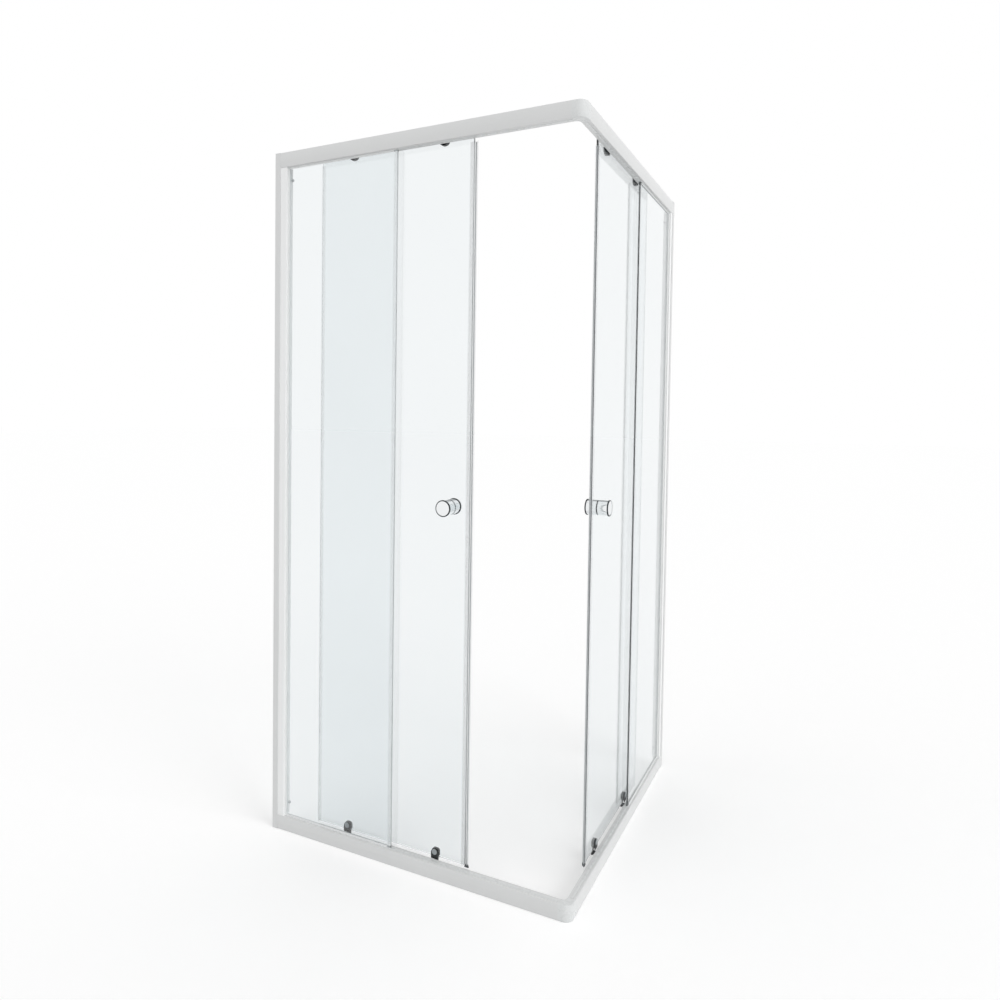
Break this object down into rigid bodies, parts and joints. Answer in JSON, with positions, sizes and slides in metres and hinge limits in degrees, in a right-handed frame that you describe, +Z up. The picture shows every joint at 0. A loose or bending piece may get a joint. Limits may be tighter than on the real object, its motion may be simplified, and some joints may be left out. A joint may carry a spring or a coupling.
{
  "type": "corner shower enclosure",
  "caption": "Square corner-entry shower enclosure: fixed glass panels and sliding glass doors on grooved wheels between white rails, with round knobs on both faces.",
  "frame": {"origin": "centre of the plan at the underside of the bottom rails, outer knobs included", "axes": "+Z up; the left side faces -Y, the right side faces +X, and they meet in the corner at +X -Y; the walls are at -X and +Y"},
  "size_m": [0.882, 0.882, 1.85],
  "materials": {
    "white_extrusion": "satin white powder coat",
    "white_moulding": "moulded white, satin",
    "clear_glass": "clear toughened",
    "grey_gasket": "soft grey",
    "clear_seal": "translucent",
    "magnet_seal": "translucent grey",
    "polished_chrome": "polished",
    "plated_steel": "zinc plated",
    "spring_steel": "bright",
    "black_moulding": "moulded black",
    "grey_moulding": "moulded grey",
    "dark_nylon": "moulded",
    "rubber_bumper": "soft"
  },
  "bodies": {
    "frame": {"bottom_corner_connector": "white_moulding", "top_corner_connector": "white_moulding", "slot_fillers": "white_moulding", "door_bumpers": "rubber_bumper", "rail_screws": "plated_steel", "adjuster_screws": "plated_steel", "adjuster_caps": "white_moulding", "left_bottom_rail": "white_extrusion", "left_top_rail": "white_extrusion", "left_wall_channel": "white_extrusion", "left_side_profile": "white_extrusion", "left_end_blocks": "white_moulding", "left_fixed_glass": "clear_glass", "left_glass_gasket": "grey_gasket", "left_edge_seal": "clear_seal", "right_bottom_rail": "white_extrusion", "right_top_rail": "white_extrusion", "right_wall_channel": "white_extrusion", "right_side_profile": "white_extrusion", "right_end_blocks": "white_moulding", "right_fixed_glass": "clear_glass", "right_glass_gasket": "grey_gasket", "right_edge_seal": "clear_seal"},
    "left_door": {"left_door_glass": "clear_glass", "left_lead_seal": "magnet_seal", "left_rear_seal": "clear_seal", "left_knob_outer": "polished_chrome", "left_knob_inner": "polished_chrome", "left_knob_stud": "plated_steel", "left_top_axles": "plated_steel", "left_top_nuts": "black_moulding", "left_roller_housings": "black_moulding", "left_roller_plates": "black_moulding", "left_roller_caps": "grey_moulding", "left_roller_springs": "spring_steel"},
    "left_rear_slide_body": {"left_rear_slide": "black_moulding"},
    "left_lead_slide_body": {"left_lead_slide": "black_moulding"},
    "left_rear_bottom_wheel_body": {"left_rear_bottom_wheel": "dark_nylon"},
    "left_lead_bottom_wheel_body": {"left_lead_bottom_wheel": "dark_nylon"},
    "left_rear_top_wheel_body": {"left_rear_top_wheel": "dark_nylon"},
    "left_lead_top_wheel_body": {"left_lead_top_wheel": "dark_nylon"},
    "right_door": {"right_door_glass": "clear_glass", "right_lead_seal": "magnet_seal", "right_rear_seal": "clear_seal", "right_knob_outer": "polished_chrome", "right_knob_inner": "polished_chrome", "right_knob_stud": "plated_steel", "right_top_axles": "plated_steel", "right_top_nuts": "black_moulding", "right_roller_housings": "black_moulding", "right_roller_plates": "black_moulding", "right_roller_caps": "grey_moulding", "right_roller_springs": "spring_steel"},
    "right_rear_slide_body": {"right_rear_slide": "black_moulding"},
    "right_lead_slide_body": {"right_lead_slide": "black_moulding"},
    "right_rear_bottom_wheel_body": {"right_rear_bottom_wheel": "dark_nylon"},
    "right_lead_bottom_wheel_body": {"right_lead_bottom_wheel": "dark_nylon"},
    "right_rear_top_wheel_body": {"right_rear_top_wheel": "dark_nylon"},
    "right_lead_top_wheel_body": {"right_lead_top_wheel": "dark_nylon"}
  },
  "joints": [
    {"name": "left_door_slide", "type": "slide", "parent": "frame", "child": "left_door", "axis": [-1, 0, 0], "range_m": [-0.24985, 0.09635]},
    {"name": "left_rear_slide_press", "type": "slide", "parent": "left_door", "child": "left_rear_slide_body", "axis": [0, 0, -1], "range_m": [0, 0.0045], "stiffness_N_per_m": 600, "springref_m": -0.003, "deforming": ["left_roller_springs"]},
    {"name": "left_rear_bottom_wheel_spin", "type": "hinge", "parent": "left_rear_slide_body", "child": "left_rear_bottom_wheel_body", "pos_m": [-0.20335, -0.41725, 0.0262], "axis": [0, 1, 0], "continuous": true},
    {"name": "left_rear_top_wheel_spin", "type": "hinge", "parent": "left_door", "child": "left_rear_top_wheel_body", "pos_m": [-0.20335, -0.41725, 1.8238], "axis": [0, 1, 0], "continuous": true},
    {"name": "left_lead_slide_press", "type": "slide", "parent": "left_door", "child": "left_lead_slide_body", "axis": [0, 0, -1], "range_m": [0, 0.0045], "stiffness_N_per_m": 600, "springref_m": -0.003, "deforming": ["left_roller_springs"]},
    {"name": "left_lead_bottom_wheel_spin", "type": "hinge", "parent": "left_lead_slide_body", "child": "left_lead_bottom_wheel_body", "pos_m": [0.065, -0.41725, 0.0262], "axis": [0, 1, 0], "continuous": true},
    {"name": "left_lead_top_wheel_spin", "type": "hinge", "parent": "left_door", "child": "left_lead_top_wheel_body", "pos_m": [0.065, -0.41725, 1.8238], "axis": [0, 1, 0], "continuous": true},
    {"name": "right_door_slide", "type": "slide", "parent": "frame", "child": "right_door", "axis": [0, 1, 0], "range_m": [-0.13185, 0.21435]},
    {"name": "right_rear_slide_press", "type": "slide", "parent": "right_door", "child": "right_rear_slide_body", "axis": [0, 0, -1], "range_m": [0, 0.0045], "stiffness_N_per_m": 600, "springref_m": -0.003, "deforming": ["right_roller_springs"]},
    {"name": "right_rear_bottom_wheel_spin", "type": "hinge", "parent": "right_rear_slide_body", "child": "right_rear_bottom_wheel_body", "pos_m": [0.41725, 0.08535, 0.0262], "axis": [1, 0, 0], "continuous": true},
    {"name": "right_rear_top_wheel_spin", "type": "hinge", "parent": "right_door", "child": "right_rear_top_wheel_body", "pos_m": [0.41725, 0.08535, 1.8238], "axis": [1, 0, 0], "continuous": true},
    {"name": "right_lead_slide_press", "type": "slide", "parent": "right_door", "child": "right_lead_slide_body", "axis": [0, 0, -1], "range_m": [0, 0.0045], "stiffness_N_per_m": 600, "springref_m": -0.003, "deforming": ["right_roller_springs"]},
    {"name": "right_lead_bottom_wheel_spin", "type": "hinge", "parent": "right_lead_slide_body", "child": "right_lead_bottom_wheel_body", "pos_m": [0.41725, -0.183, 0.0262], "axis": [1, 0, 0], "continuous": true},
    {"name": "right_lead_top_wheel_spin", "type": "hinge", "parent": "right_door", "child": "right_lead_top_wheel_body", "pos_m": [0.41725, -0.183, 1.8238], "axis": [1, 0, 0], "continuous": true}
  ],
  "couplings": [
    {"joint": "left_rear_bottom_wheel_spin", "follows": "left_door_slide", "rad_per_m": 133.33},
    {"joint": "left_rear_top_wheel_spin", "follows": "left_door_slide", "rad_per_m": -133.33},
    {"joint": "left_lead_bottom_wheel_spin", "follows": "left_door_slide", "rad_per_m": 133.33},
    {"joint": "left_lead_top_wheel_spin", "follows": "left_door_slide", "rad_per_m": -133.33},
    {"joint": "right_rear_bottom_wheel_spin", "follows": "right_door_slide", "rad_per_m": 133.33},
    {"joint": "right_rear_top_wheel_spin", "follows": "right_door_slide", "rad_per_m": -133.33},
    {"joint": "right_lead_bottom_wheel_spin", "follows": "right_door_slide", "rad_per_m": 133.33},
    {"joint": "right_lead_top_wheel_spin", "follows": "right_door_slide", "rad_per_m": -133.33}
  ]
}
